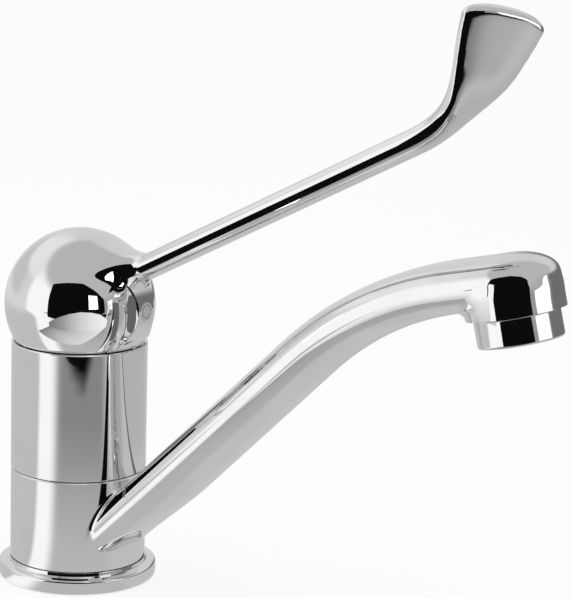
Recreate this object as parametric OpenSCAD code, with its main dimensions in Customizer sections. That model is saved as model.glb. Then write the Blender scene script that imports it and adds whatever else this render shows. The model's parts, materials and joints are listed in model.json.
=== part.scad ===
// Elbow lever tap: a single-lever basin mixer with a swivelling cast spout and a long paddle lever.
// Millimetres, +Z up, +X towards the basin. The origin is the mouth of the fixing hole, at deck level.

/* [Body] */
// Diameter of the barrel and of the spout's collar
body_d = 48; // [45:0.5:52]
// Diameter of the base ring on the deck
base_d = 56; // [53:0.5:70]
// Height of the base ring
base_h = 7; // [6:0.5:12]
// Height of the upright outer wall of the base ring
base_wall_h = 4.7; // [2:0.1:5]
// Height between base ring and barrel, taken up by the spout's collar
collar_h = 33; // [30:0.5:45]
// Height of the barrel above the seam
barrel_h = 45.6; // [43:0.2:60]
// Diameter of the spigot that the collar turns on
spigot_d = 38; // [36:0.5:39]
// Diameter of the foot of the body inside the base ring
foot_d = 34; // [32:0.5:36]

/* [Deck fixing] */
// Wall diameter of the central hole for the fixing stud
stud_hole_d = 6.8; // [5:0.1:8.5]
// Depth of the hole for the fixing stud
stud_hole_depth = 16; // [10:0.5:17]
// Wall diameter of each hose inlet
inlet_d = 9; // [8:0.1:10]
// Depth of each hose inlet
inlet_depth = 12; // [8:0.5:15]
// Distance of each hose inlet from the axis
inlet_offset = 10.5; // [10:0.1:11.5]
// Middle diameter of the deck gasket
gasket_d = 46; // [42:0.5:48]
// Width of the deck gasket
gasket_w = 4; // [2.5:0.1:5]
// Height of the deck gasket
gasket_h = 2.4; // [1.5:0.1:3.5]

/* [Collar bearing] */
// Thickness of each plastic glide ring
glide_t = 1.5; // [1:0.1:2.5]
// Radial width of each glide ring
glide_w = 2.6; // [1.5:0.1:3]
// Thickness of the rubber of each spout seal
seal_t = 2.2; // [1.6:0.1:2.6]
// Distance of each spout seal from its end of the collar
seal_inset = 5.5; // [4.5:0.1:7]
// Height of the water groove round the spigot
water_groove_h = 13; // [9:0.5:16]
// Depth of the water groove round the spigot
water_groove_depth = 2.5; // [1:0.1:3]

/* [Spout] */
// Height at which the spout's centre line crosses the body's axis
spout_start_z = 1.1; // [-2:0.1:5]
// Slope of the rising run of the spout
spout_rise_angle = 44.2; // [38:0.2:50]
// Length of the rising run, from the body's axis
spout_rise_len = 135; // [100:1:170]
// Radius of the spout's bend
spout_bend_r = 127; // [90:1:160]
// Slope of the last run of the spout, which also tilts the aerator
spout_end_angle = 14.5; // [6:0.5:20]
// Length of the last run, from the bend to the axis of the head
spout_end_len = 18; // [12:0.5:30]
// Width of the spout at its root
spout_root_w = 32.6; // [30:0.2:36]
// Height of the spout at its root, square to its centre line
spout_root_h = 18.4; // [16:0.2:21]
// Width of the spout where it meets the head
spout_end_w = 31.2; // [26:0.2:32]
// Height of the spout where it meets the head
spout_end_h = 16.8; // [14:0.2:20]
// Squareness of the spout's oval section, where 2 is an ellipse
spout_square = 2.3; // [2:0.1:3]
// Wall of the spout round its water way
spout_wall = 3; // [2:0.1:4]
// Diameter of the round way from the collar into the spout
water_way_d = 10; // [7:0.5:11]
// Diameter of the round head above the aerator
head_d = 32.5; // [31:0.1:36]
// Height of the straight wall of the head
head_wall_h = 5.7; // [3:0.1:8]
// Height of the whole head
head_h = 18.8; // [17:0.1:24]
// Distance from the lower face of the head up to the spout's centre line
head_drop = 10.6; // [8:0.1:12]
// Roundness of the crown of the head, where 2 is an ellipse
head_square = 2.36; // [2:0.02:3]

/* [Aerator] */
// Outer diameter of the aerator shell
aerator_d = 28; // [26:0.1:30]
// Length of the shell below the head
aerator_len = 9.3; // [6:0.1:14]
// Diameter of the shell's thread in the head
aerator_thread_d = 24; // [22:0.1:25]
// Length of the shell's thread in the head
aerator_thread_len = 5; // [4:0.1:5.5]
// Diameter of the bore of the shell
aerator_bore_d = 20.4; // [18:0.1:21]
// Height of the ledge that carries the insert, above the outlet
aerator_ledge_h = 2; // [1:0.1:3]
// Inner diameter of that ledge
aerator_ledge_d = 17.6; // [15:0.1:18]
// Thickness of the rubber washer on top of the shell
washer_t = 2; // [1:0.1:2.2]
// Thickness of the screen on top of the insert
screen_t = 0.6; // [0.4:0.1:1]
// Diameter of each hole through the insert
insert_hole_d = 1.9; // [1:0.1:2.2]
// Spacing of the holes through the insert
insert_pitch = 3.1; // [3:0.1:4]

/* [Ball cap] */
// Diameter of the ball-shaped cap of the lever
ball_d = 53; // [50.6:0.2:60]
// Wall of the ball cap
ball_wall = 2.2; // [1.6:0.1:2.6]
// Gap between the rim of the ball cap and the barrel
rim_gap = 0.4; // [0.2:0.1:1]
// Gap all round between the ball cap and its hollow seat in the barrel
seat_gap = 0.3; // [0.2:0.05:0.6]
// Width of the flat lip left on top of the barrel
seat_lip = 0.8; // [0.5:0.1:1.5]
// Reach of the boss under the lever, from the axis
boss_reach = 29; // [28:0.1:32]
// Radius of the boss's curved front, seen from the side
boss_r = 16; // [14:0.5:18]
// Width of the boss at its front
boss_front_w = 8.8; // [7.8:0.1:11]
// Width of the boss where it leaves the ball
boss_root_w = 14.6; // [12:0.2:18]
// Height of the fixing screw above the ball's centre
screw_rise = 1; // [0:0.1:1.5]
// Wall round the bore of the fixing screw
screw_wall = 2.3; // [1.5:0.1:3]
// Wall of the hub round the spindle's stem
hub_wall = 2.4; // [1.6:0.1:3]
// Diameter of the index plug
plug_d = 6.4; // [5:0.1:7]
// Thickness of the index plug
plug_t = 2.4; // [1.5:0.1:3]
// How far the plug stands proud of the boss
plug_proud = 0.2; // [0.1:0.05:0.5]
// Width of the rim of the plug outside its groove
plug_rim_w = 0.7; // [0.5:0.05:1]
// Width and depth of the groove in the plug's face
plug_groove_w = 0.4; // [0.3:0.05:0.6]
// Diameter of the grub screw
screw_d = 5; // [4:0.1:6]
// Length of the grub screw
screw_len = 8; // [6:0.5:12]
// Width across flats of the screw's hexagon socket
screw_socket = 2.5; // [2:0.5:3]

/* [Lever] */
// Height at which the arm's centre line crosses the body's axis, above the ball's centre
arm_rise = 1.3; // [0:0.1:3]
// Slope of the arm
arm_angle = 27.9; // [20:0.1:35]
// Length of the straight arm, from the body's axis
arm_len = 152; // [100:1:180]
// Width of the arm
arm_w = 12; // [10:0.2:14]
// Thickness of the arm
arm_t = 8.7; // [7.5:0.1:11]
// Squareness of the arm's section, where 2 is an ellipse
arm_square = 2.6; // [2:0.1:3.2]
// Radius of the fillet between arm and ball
arm_fillet_r = 12; // [8:0.5:14]
// How deep the end of that fillet sinks into the ball
arm_fillet_sink = 0.6; // [0.4:0.1:1]
// Radius of the bend into the paddle
paddle_bend_r = 53.5; // [40:0.5:90]
// Slope of the paddle at its tip
paddle_angle = 69.5; // [50:0.5:80]
// Straight length at the tip, after the bend
paddle_end_len = 17.7; // [8:0.1:30]
// Length over which the arm widens into the paddle
paddle_len = 47.5; // [36:0.5:60]
// Width of the paddle
paddle_w = 28.8; // [20:0.2:40]
// Thickness of the paddle at its tip
paddle_t = 5.4; // [3:0.1:7]
// Squareness of the paddle's section at its tip
paddle_square = 4; // [2:0.1:5]
// Turn of the paddle about its own length, its outer face towards the left-hand side
paddle_twist = 38; // [0:1:55]
// Length of the rounded tip
paddle_tip_len = 5; // [3:0.2:9]

/* [Lever motion] */
// Lift of the lever from closed to full flow, in degrees
lift_max = 25; // [15:1:26]
// Distance from the lift axis down to the ball end of the spindle
throw_len = 14; // [12:0.2:15]
// Diameter of the pin that the lever lifts on
pin_d = 4; // [3:0.1:4.4]
// Width of the square stem of the spindle
stem_w = 9; // [8:0.1:9.6]
// Height of the stem above the lift axis
stem_h = 18; // [15:0.5:19]
// Diameter of the eye of the spindle, and of the ears beside it
eye_d = 9; // [8:0.1:9.4]
// Thickness of each ear of the rotor
ear_t = 3.6; // [2.5:0.1:4]
// Diameter of the shank below the eye
shank_d = 4.4; // [3:0.1:4.6]
// Diameter of the ball end of the spindle
ball_end_d = 6.2; // [5:0.1:6.6]

/* [Cartridge] */
// Diameter of the cartridge
cartridge_d = 34.8; // [33:0.2:36]
// Wall of the cartridge housing round the discs
cartridge_wall = 2; // [1.5:0.1:2.2]
// Wall of the neck of the housing
neck_wall = 1.8; // [1.2:0.1:2]
// Thickness of the housing's shoulder under the nut
shoulder_t = 2.4; // [1.5:0.1:3]
// Height of the clamping nut
nut_h = 6; // [4:0.1:6.5]
// Diameter of the clamping nut
nut_d = 38; // [37:0.2:40]
// Thickness of the rotor's flange
flange_t = 2.7; // [2:0.1:3.2]
// Thickness of the disc carrier's plate
plate_t = 3; // [2:0.1:3.4]
// Diameter of the disc carrier's post
post_d = 9.2; // [8.6:0.1:9.6]
// Thickness of the moving disc
moving_disc_t = 4.5; // [3.5:0.1:5]
// Diameter of the moving disc
moving_disc_d = 24; // [22:0.2:24.4]
// Thickness of the fixed disc
fixed_disc_t = 4.5; // [3.5:0.1:5]
// Thickness of the cartridge's foot
foot_t = 5; // [4:0.1:5.4]
// Diameter of the three water ways
port_d = 5.6; // [4:0.1:6]
// Distance of the inlet ports in front of the axis
port_front = 3; // [2:0.1:4]
// Distance of each inlet port from the middle plane
port_side = 6.6; // [6.2:0.1:7.4]
// Distance of the outlet port behind the axis
port_back = 7; // [6.5:0.1:8]
// Diameter of the mixing hollow in the moving disc
hollow_d = 15; // [12:0.2:15.4]
// Distance of the mixing hollow behind the middle of the moving disc
hollow_back = 2; // [1.8:0.1:3]
// Diameter of the way from the outlet port to the water groove
outlet_d = 7.6; // [6:0.1:9]
// How far the rotor stands out of the neck
rotor_proud = 1.2; // [0.6:0.1:2]
// Width of each spanner slot of the nut
nut_slot_w = 4; // [3:0.1:5]
// Depth of each spanner slot, from the outside
nut_slot_depth = 2; // [1:0.1:2.4]
// Thickness of the rubber of the cartridge seals
cartridge_seal_t = 1.5; // [1:0.1:1.8]
// Wall of the bowl-shaped inner cap
cap_wall = 1.2; // [0.8:0.1:2]
// Depth of the edge of the inner cap below the ball's centre
cap_edge_drop = 8; // [6.5:0.1:10]
// Width of the step on the neck that the inner cap rests on
cap_step = 0.6; // [0.4:0.1:1]
// Width of the cap's hub outside the neck
cap_hub_w = 2.5; // [1.5:0.1:3]
// Height of the cap's hub above the step, and below it
cap_hub_h = 2; // [1.5:0.1:2.5]

/* [Clearances] */
// Radial gap of a running fit
run_fit = 0.06; // [0.03:0.01:0.1]
// Gap between flat faces that turn or slide past each other
slide_gap = 0.1; // [0.05:0.01:0.2]
// Gap of a fixed piece in its place
seat_fit = 0.05; // [0.02:0.01:0.1]
// Visible gap at each end of the turning collar
collar_gap = 0.3; // [0.2:0.05:0.6]
// Free room round a piece that swings
swing_gap = 0.8; // [0.5:0.1:1.2]

/* [Hidden] */

$fn = 96;
// Overshoot of a cut past the face it opens
cut = 1;
// Small chamfer of turned edges
edge = 0.4;
// Points round each lofted section
section_n = 28;
// What a drawn-in end keeps, so that its last section is not a point
least_end = 0.0004;
// Share of the paddle's widening that is straight, the rest being an S curve
fan_straight = 0.2;
// Shares of the paddle's length over which it turns and thins
twist_share = 0.57;
thin_share = 0.7;
// Roundness of the paddle's tip across its width and through its thickness
tip_square_w = 2.1;
tip_square_t = 4;

// Levels and radii of the body
body_r = body_d / 2;
base_r = base_d / 2;
spigot_r = spigot_d / 2;
foot_r = foot_d / 2;
seam_z = base_h + collar_h;
top_z = seam_z + barrel_h;
collar_bottom = base_h + collar_gap;
collar_top = seam_z - collar_gap;
collar_bore_r = spigot_r + run_fit;
glide_in_r = spigot_r + seat_fit;
glide_out_r = spigot_r + glide_w;
glide_room = glide_t + slide_gap;
seal_levels = [base_h + seal_inset, seam_z - seal_inset];
water_z = (base_h + seam_z) / 2;

// The ball cap, its seat and the neck that it clears when it is lifted
ball_r = ball_d / 2;
ball_in_r = ball_r - ball_wall;
seat_r = ball_r + seat_gap;
ball_rise = sqrt(pow(seat_r, 2) - pow(body_r - seat_lip, 2));
ball_z = top_z + ball_rise;
rim_z = top_z + rim_gap;
rim_drop = ball_z - rim_z;
rim_in_r = sqrt(pow(ball_in_r, 2) - pow(rim_drop, 2));
neck_r = rim_in_r * cos(lift_max) - rim_drop * sin(lift_max) - swing_gap;
cap_r = ball_in_r - rim_gap;

// The cartridge, stacked down from the nut under the ball's seat
nut_top = ball_z - sqrt(pow(seat_r, 2) - pow(neck_r, 2)) - swing_gap;
housing_top = nut_top - nut_h;
chamber_r = cartridge_d / 2 - cartridge_wall;
flange_top = housing_top - shoulder_t - slide_gap;
plate_top = flange_top - flange_t - slide_gap;
moving_top = plate_top - plate_t;
fixed_top = moving_top - moving_disc_t - slide_gap;
foot_top = fixed_top - fixed_disc_t;
floor_z = foot_top - foot_t;
ports = [[port_front, port_side], [port_front, -port_side], [-port_back, 0]];

// The rotor and what swings in it
rotor_r = neck_r - neck_wall - run_fit;
rotor_top = ball_z - eye_d / 2 - swing_gap;
neck_top = rotor_top - rotor_proud;
eye_half = stem_w / 2;
ear_in = eye_half + slide_gap;
ear_out = ear_in + ear_t;
throw_angle = lift_max / 2;
throw = throw_len * sin(throw_angle);
post_top = ball_z - throw_len * cos(throw_angle) + ball_end_d / 2;
hub_bottom = ball_z + eye_d / 2 + swing_gap;
hub_r = stem_w / sqrt(2) + hub_wall;
screw_z = ball_z + screw_rise;
screw_boss_r = screw_d / 2 + screw_wall;
screw_boss_x = max(eye_d / 2, stem_w / 2) + swing_gap;
plug_face = boss_reach + plug_proud;

// Height of the shoulder on the neck that the inner cap rests on
cap_seat_z = ball_z - sqrt(pow(cap_r, 2) - pow(neck_r, 2)) + edge;
cap_hole_r = neck_r - cap_step;

// The spout starts inside the collar's wall, and its water way outside the collar's bore
rise_run = cos(spout_rise_angle);
rise_lean = sin(spout_rise_angle);
spout_s_start = ((collar_bore_r + body_r) / 2 - spout_root_h / 2 * rise_lean) / rise_run;
way_in_h = spout_root_h / 2 - spout_wall;
way_s_start = (collar_bore_r + spout_wall + way_in_h * rise_lean) / rise_run;

// The spout's head stands at the end of its centre line
spout_arc = (spout_rise_angle - spout_end_angle) * PI / 180 * spout_bend_r;
spout_s_end = spout_rise_len + spout_arc + spout_end_len;
head_r = head_d / 2;
head_bore_r = aerator_thread_d / 2 + seat_fit;
washer_seat = aerator_thread_len + washer_t;
insert_top = aerator_len + aerator_thread_len - screen_t;

// The arm's centre line passes the ball's centre this far above it, and starts this far behind it
arm_above = arm_rise * cos(arm_angle);
arm_behind = arm_rise * sin(arm_angle);
fillet_ball_r = ball_r - arm_fillet_sink;

// The lever's length along its centre line
lever_arc = (paddle_angle - arm_angle) * PI / 180 * paddle_bend_r;
lever_s_end = arm_len + lever_arc + paddle_end_len;

// A smooth step from 0 to 1
function smooth(u) = let (v = min(max(u, 0), 1)) v * v * (3 - 2 * v);

// A signed power, for rounded-square sections
function signed_pow(c, p) = sign(c) * pow(abs(c), p);

// How far a rounded end has drawn in at a share u of its length
function drawn_in(u, k) = pow(max(1 - pow(u, k), least_end), 1 / k);

// Points of an oval section with half-width w and half-height h
function oval(w, h, square) = [
    for (i = [0 : section_n - 1])
        let (a = 360 * i / section_n)
        [w * signed_pow(cos(a), 2 / square), h * signed_pow(sin(a), 2 / square)]
];

// X, Z and slope at a distance s along a straight run, an arc and another straight run
function spine(s, z0, a1, len1, r, a2) =
    let (
        way = sign(a2 - a1),
        arc = abs(a2 - a1) * PI / 180 * r,
        run1 = min(s, len1),
        run2 = min(max(s - len1, 0), arc),
        run3 = max(s - len1 - arc, 0),
        a = a1 + way * run2 / r * 180 / PI
    )
    [
        run1 * cos(a1) + way * r * (sin(a) - sin(a1)) + run3 * cos(a),
        z0 + run1 * sin(a1) - way * r * (cos(a) - cos(a1)) + run3 * sin(a),
        a
    ];

// A section set square to the centre line at a place on it, turned about that line
function placed(points, at, turn) = [
    for (p = points)
        let (
            side = p[0] * cos(turn) + p[1] * sin(turn),
            up = p[1] * cos(turn) - p[0] * sin(turn)
        )
        [at[0] - up * sin(at[2]), side, at[1] + up * cos(at[2])]
];

function spout_at(s) =
    spine(s, spout_start_z, spout_rise_angle, spout_rise_len, spout_bend_r, spout_end_angle);

// A section of the spout, drawn in by a wall for the water way
function spout_section(s, wall) =
    let (u = (s - spout_s_start) / (spout_s_end - spout_s_start))
    placed(
        oval(
            spout_root_w / 2 + (spout_end_w - spout_root_w) / 2 * u - wall,
            spout_root_h / 2 + (spout_end_h - spout_root_h) / 2 * u - wall,
            spout_square
        ),
        spout_at(s), 0
    );

function lever_at(s) =
    spine(s, ball_z + arm_rise, arm_angle, arm_len, paddle_bend_r, paddle_angle);

// Where the fillet begins for a point at a distance h from the line through the ball's centre
function flare_start(h) =
    sqrt(pow(fillet_ball_r + arm_fillet_r, 2) - pow(h + arm_fillet_r, 2));

// How far such a point moves out at a distance s along that line
function flare(s, h) =
    let (back = min(max(flare_start(h) - s, 0), arm_fillet_r))
    arm_fillet_r - sqrt(pow(arm_fillet_r, 2) - pow(back, 2));

// Points of an arm section, moved out from the line through the ball's centre as a fillet to the ball
function flared(points, s) = [
    for (p = points)
        let (q = [p[0], p[1] + arm_above], h = norm(q))
        p + q / h * flare(s + arm_behind, h)
];

// A section of the lever at a distance s from the body's axis
function lever_section(s) =
    let (
        u = (s - lever_s_end + paddle_len) / paddle_len,
        tip = max((s - lever_s_end + paddle_tip_len) / paddle_tip_len, 0),
        fan = (1 - fan_straight) * smooth(u) + fan_straight * min(max(u, 0), 1),
        w = arm_w / 2 + (paddle_w - arm_w) / 2 * fan,
        t = arm_t / 2 + (paddle_t - arm_t) / 2 * smooth(u / thin_share),
        square = arm_square + (paddle_square - arm_square) * smooth(u),
        points = oval(w * drawn_in(tip, tip_square_w), t * drawn_in(tip, tip_square_t), square)
    )
    placed(flared(points, s), lever_at(s), paddle_twist * smooth(u / twist_share));

// A solid through a list of sections with equal numbers of points
module loft(rings) {
    n = len(rings[0]);
    last = len(rings) - 1;
    sides = [
        for (j = [0 : last - 1], i = [0 : n - 1])
            let (a = j * n + i, b = j * n + (i + 1) % n)
            each [[a, b + n, b], [a, a + n, b + n]]
    ];
    first_cap = [for (i = [0 : n - 1]) i];
    last_cap = [for (i = [n - 1 : -1 : 0]) last * n + i];
    polyhedron(points = [for (r = rings) each r], faces = concat([first_cap], sides, [last_cap]));
}

// A ring turned about Z
module ring(r_in, r_out, z, h) {
    rotate_extrude() translate([r_in, z]) square([r_out - r_in, h]);
}

// A round way from one point to another
module pipe(from, to, d) {
    v = to - from;
    translate(from)
        rotate([0, acos(v[2] / norm(v)), atan2(v[1], v[0])])
            cylinder(d = d, h = norm(v));
}

// The frame of the aerator: its outlet at the origin, its axis up into the head
module at_outlet() {
    end = spout_at(spout_s_end);
    translate([end[0], 0, end[1]])
        rotate([0, -spout_end_angle, 0])
            translate([0, 0, -head_drop - aerator_len])
                children();
}

// The frame of the fixing screw: Z runs out along +X at the screw's height
module at_screw() {
    translate([0, 0, screw_z]) rotate([0, 90, 0]) children();
}

module base_ring() {
    color("silver")
        rotate_extrude()
            difference() {
                polygon([
                    [foot_r + seat_fit, 0], [base_r, 0], [base_r, base_wall_h],
                    [base_r - 2 * edge, base_wall_h + 2 * edge],
                    [body_r + edge, base_h], [foot_r + seat_fit, base_h]
                ]);
                translate([(gasket_d - gasket_w) / 2 - seat_fit, -cut])
                    square([gasket_w + 2 * seat_fit, gasket_h + cut + seat_fit]);
            }
}

module deck_gasket() {
    color("dimgray") ring((gasket_d - gasket_w) / 2, (gasket_d + gasket_w) / 2, 0, gasket_h);
}

module valve_body() {
    groove = seal_t + 2 * slide_gap;
    outlet_drop = [-port_back, 0, water_z];
    color("silver")
        difference() {
            rotate_extrude()
                polygon([
                    [0, 0], [foot_r, 0], [foot_r, base_h], [spigot_r, base_h], [spigot_r, seam_z],
                    [body_r - edge, seam_z], [body_r, seam_z + edge], [body_r, top_z], [0, top_z]
                ]);
            translate([0, 0, ball_z]) sphere(r = seat_r);
            translate([0, 0, floor_z]) cylinder(d = cartridge_d + 2 * seat_fit, h = barrel_h);
            translate([0, 0, housing_top]) cylinder(d = nut_d + 2 * seat_fit, h = barrel_h);
            for (z = seal_levels)
                ring(spigot_r - seal_t - seat_fit, spigot_r + cut, z - groove / 2, groove);
            ring(
                spigot_r - water_groove_depth, spigot_r + cut,
                water_z - water_groove_h / 2, water_groove_h
            );
            translate([0, 0, -cut]) cylinder(d = stud_hole_d, h = stud_hole_depth + cut);
            for (side = [-1, 1]) {
                translate([0, side * inlet_offset, -cut]) cylinder(d = inlet_d, h = inlet_depth + cut);
                translate([port_front, side * port_side, inlet_depth - cut])
                    cylinder(d = port_d, h = floor_z - inlet_depth + 2 * cut);
            }
            translate(outlet_drop) cylinder(d = port_d, h = floor_z - water_z + cut);
            translate(outlet_drop) rotate([0, -90, 0]) cylinder(d = outlet_d, h = spigot_r);
        }
}

module lower_glide_ring() {
    color("whitesmoke") ring(glide_in_r, glide_out_r, base_h, glide_t);
}

module upper_glide_ring() {
    color("whitesmoke") ring(glide_in_r, glide_out_r, seam_z - glide_t, glide_t);
}

module spout_seals() {
    color("black")
        for (z = seal_levels)
            rotate_extrude() translate([spigot_r - seal_t / 2, z]) circle(d = seal_t);
}

// Outline of the spout's head, turned about the aerator's axis
module head_outline() {
    steps = 12;
    crown_h = head_h - head_wall_h;
    crown = [
        for (i = [0 : steps])
            let (f = sin(90 * i / steps))
            [head_r * drawn_in(f, head_square), head_wall_h + crown_h * f]
    ];
    polygon(concat([[0, 0], [head_r, 0]], crown, [[0, head_h]]));
}

// The outside of the spout or, drawn in by its wall, the water way through it
module spout_run(s_start, wall) {
    rings = 30;
    step = (spout_s_end - s_start) / rings;
    loft([for (i = [0 : rings]) spout_section(s_start + i * step, wall)]);
}

module spout() {
    way_in = spout_at(way_s_start + water_way_d / 2);
    color("silver")
        difference() {
            union() {
                rotate_extrude()
                    polygon([
                        [spigot_r - cut, collar_bottom], [body_r, collar_bottom],
                        [body_r, collar_top - edge], [body_r - edge, collar_top],
                        [spigot_r - cut, collar_top]
                    ]);
                spout_run(spout_s_start, 0);
                at_outlet() translate([0, 0, aerator_len]) rotate_extrude() head_outline();
            }
            cylinder(r = collar_bore_r, h = top_z);
            for (z = [base_h, seam_z - glide_room])
                ring(spigot_r, glide_out_r + run_fit, z, glide_room);
            spout_run(way_s_start, spout_wall);
            pipe([spigot_r - glide_w, 0, water_z], [way_in[0], 0, way_in[1]], water_way_d);
            at_outlet() {
                cylinder(r = head_bore_r, h = aerator_len + washer_seat);
                translate([0, 0, aerator_len + head_drop - spout_end_h / 2 + spout_wall])
                    cylinder(r = head_bore_r - spout_wall, h = spout_end_h - 2 * spout_wall);
            }
        }
}

module aerator_shell() {
    color("silver")
        at_outlet()
            rotate_extrude()
                polygon([
                    [aerator_ledge_d / 2, 0], [aerator_d / 2 - 2 * edge, 0], [aerator_d / 2, 2 * edge],
                    [aerator_d / 2, aerator_len - edge], [aerator_d / 2 - edge, aerator_len],
                    [aerator_thread_d / 2, aerator_len],
                    [aerator_thread_d / 2, aerator_len + aerator_thread_len],
                    [aerator_bore_d / 2, aerator_len + aerator_thread_len],
                    [aerator_bore_d / 2, aerator_ledge_h], [aerator_ledge_d / 2, aerator_ledge_h]
                ]);
}

module aerator_washer() {
    color("black")
        at_outlet()
            ring(
                aerator_ledge_d / 2, aerator_thread_d / 2 - seat_fit,
                aerator_len + aerator_thread_len, washer_t
            );
}

// Holes on a hexagonal pattern inside a circle
module hole_pattern(r, pitch, d, h) {
    rows = floor(r / pitch) + 1;
    for (i = [-rows : rows], j = [-rows : rows]) {
        x = pitch * (i + j / 2);
        y = pitch * j * sqrt(3) / 2;
        if (norm([x, y]) < r - d) translate([x, y, -cut]) cylinder(d = d, h = h + 2 * cut, $fn = 24);
    }
}

module aerator_insert() {
    h = insert_top - aerator_ledge_h;
    color("whitesmoke")
        at_outlet()
            translate([0, 0, aerator_ledge_h])
                difference() {
                    cylinder(d = aerator_bore_d - 2 * seat_fit, h = h);
                    hole_pattern(aerator_ledge_d / 2, insert_pitch, insert_hole_d, h);
                }
}

module aerator_screen() {
    color("gray")
        at_outlet()
            translate([0, 0, insert_top])
                difference() {
                    cylinder(d = aerator_bore_d - 2 * seat_fit, h = screen_t);
                    hole_pattern(aerator_ledge_d / 2, insert_pitch, insert_hole_d, screen_t);
                }
}

module port_holes(z, h) {
    for (p = ports) translate([p[0], p[1], z]) cylinder(d = port_d, h = h);
}

module cartridge_base() {
    color("gainsboro")
        difference() {
            translate([0, 0, floor_z]) cylinder(r = chamber_r - seat_fit, h = foot_t);
            port_holes(floor_z - cut, foot_t + 2 * cut);
            for (p = ports)
                translate([p[0], p[1], 0])
                    ring(
                        port_d / 2 - cut, port_d / 2 + cartridge_seal_t + seat_fit,
                        floor_z - cut, cartridge_seal_t + cut + seat_fit
                    );
        }
}

module cartridge_seals() {
    color("black")
        for (p = ports)
            translate([p[0], p[1], 0])
                ring(port_d / 2, port_d / 2 + cartridge_seal_t, floor_z, cartridge_seal_t);
}

module fixed_disc() {
    color("white")
        difference() {
            translate([0, 0, foot_top]) cylinder(r = chamber_r - seat_fit, h = fixed_disc_t);
            port_holes(foot_top - cut, fixed_disc_t + 2 * cut);
        }
}

// The mixing hollow opens downwards, to the fixed disc
module moving_disc() {
    color("white")
        translate([-throw, 0, moving_top - moving_disc_t])
            difference() {
                cylinder(d = moving_disc_d, h = moving_disc_t);
                translate([-hollow_back, 0, -cut]) cylinder(d = hollow_d, h = moving_disc_t / 2 + cut);
            }
}

module disc_carrier() {
    bore_d = ball_end_d + 4 * slide_gap;
    mouth_h = ball_end_d / 2;
    color("gainsboro")
        translate([-throw, 0, 0])
            difference() {
                union() {
                    translate([0, 0, moving_top]) cylinder(d = moving_disc_d, h = plate_t);
                    translate([0, 0, moving_top]) cylinder(d = post_d, h = post_top - moving_top);
                }
                translate([0, 0, post_top - 2 * ball_end_d]) cylinder(d = bore_d, h = 2 * ball_end_d + cut);
                translate([0, 0, post_top - mouth_h])
                    cylinder(d1 = bore_d, d2 = post_d - 2 * edge, h = mouth_h + slide_gap);
            }
}

module cartridge_housing() {
    color("gainsboro")
        rotate_extrude()
            polygon([
                [chamber_r, floor_z], [cartridge_d / 2, floor_z], [cartridge_d / 2, housing_top],
                [neck_r, housing_top], [neck_r, cap_seat_z], [cap_hole_r, cap_seat_z],
                [cap_hole_r, neck_top], [rotor_r + run_fit, neck_top],
                [rotor_r + run_fit, housing_top - shoulder_t], [chamber_r, housing_top - shoulder_t]
            ]);
}

module cartridge_nut() {
    slot_n = 6;
    color("goldenrod")
        difference() {
            ring(neck_r + seat_fit, nut_d / 2, housing_top, nut_h);
            for (i = [0 : slot_n - 1])
                rotate(i * 360 / slot_n)
                    translate([nut_d / 2 - nut_slot_depth, -nut_slot_w / 2, nut_top - nut_h / 3])
                        cube([nut_slot_depth + cut, nut_slot_w, nut_h]);
        }
}

// A bowl inside the ball cap, on a hub that rests on the step of the neck
module inner_cap() {
    hub_z = cap_seat_z - cap_hub_h;
    edge_z = ball_z - cap_edge_drop;
    color("silver")
        difference() {
            intersection() {
                translate([0, 0, ball_z]) sphere(r = cap_r);
                translate([0, 0, hub_z]) cylinder(r = body_r, h = edge_z - hub_z);
            }
            difference() {
                translate([0, 0, ball_z]) sphere(r = cap_r - cap_wall);
                ring(0, neck_r + cap_hub_w, hub_z - cut, 2 * cap_hub_h + cut);
            }
            translate([0, 0, hub_z - cut]) cylinder(r = cap_hole_r + seat_fit, h = body_r);
            translate([0, 0, hub_z - cut]) cylinder(r = neck_r + seat_fit, h = cap_hub_h + cut);
        }
}

// The slot in which the disc carrier's post slides
module post_slot(z, h) {
    w = post_d + 4 * slide_gap;
    translate([0, 0, z])
        linear_extrude(h) {
            for (side = [-1, 1]) translate([side * throw, 0]) circle(d = w);
            square([2 * throw, w], center = true);
        }
}

module rotor() {
    flange_z = flange_top - flange_t;
    color("darkgray")
        difference() {
            union() {
                translate([0, 0, flange_z]) cylinder(r = chamber_r - run_fit, h = flange_t);
                translate([0, 0, flange_z]) cylinder(r = rotor_r, h = rotor_top - flange_z);
                for (side = [-1, 1])
                    translate([0, side * (ear_in + ear_t / 2), 0]) {
                        translate([0, 0, ball_z])
                            rotate([90, 0, 0])
                                cylinder(d = eye_d, h = ear_t, center = true);
                        translate([-eye_d / 2, -ear_t / 2, rotor_top - cut])
                            cube([eye_d, ear_t, ball_z - rotor_top + cut]);
                    }
            }
            post_slot(flange_z - cut, rotor_top - flange_z + 2 * cut);
            translate([0, 0, ball_z])
                rotate([90, 0, 0])
                    cylinder(d = pin_d + 2 * seat_fit, h = 4 * ear_out, center = true);
        }
}

module pivot_pin() {
    color("gray")
        translate([0, 0, ball_z]) rotate([90, 0, 0]) cylinder(d = pin_d, h = 2 * ear_out, center = true);
}

module spindle() {
    color("gray")
        translate([0, 0, ball_z])
            difference() {
                union() {
                    translate([-stem_w / 2, -stem_w / 2, 0]) cube([stem_w, stem_w, stem_h]);
                    rotate([90, 0, 0]) cylinder(d = eye_d, h = 2 * eye_half, center = true);
                    rotate([0, throw_angle, 0]) {
                        translate([0, 0, -throw_len]) cylinder(d = shank_d, h = throw_len);
                        translate([0, 0, -throw_len]) sphere(d = ball_end_d);
                    }
                }
                rotate([90, 0, 0]) cylinder(d = pin_d + 2 * run_fit, h = 4 * eye_half, center = true);
            }
}

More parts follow.
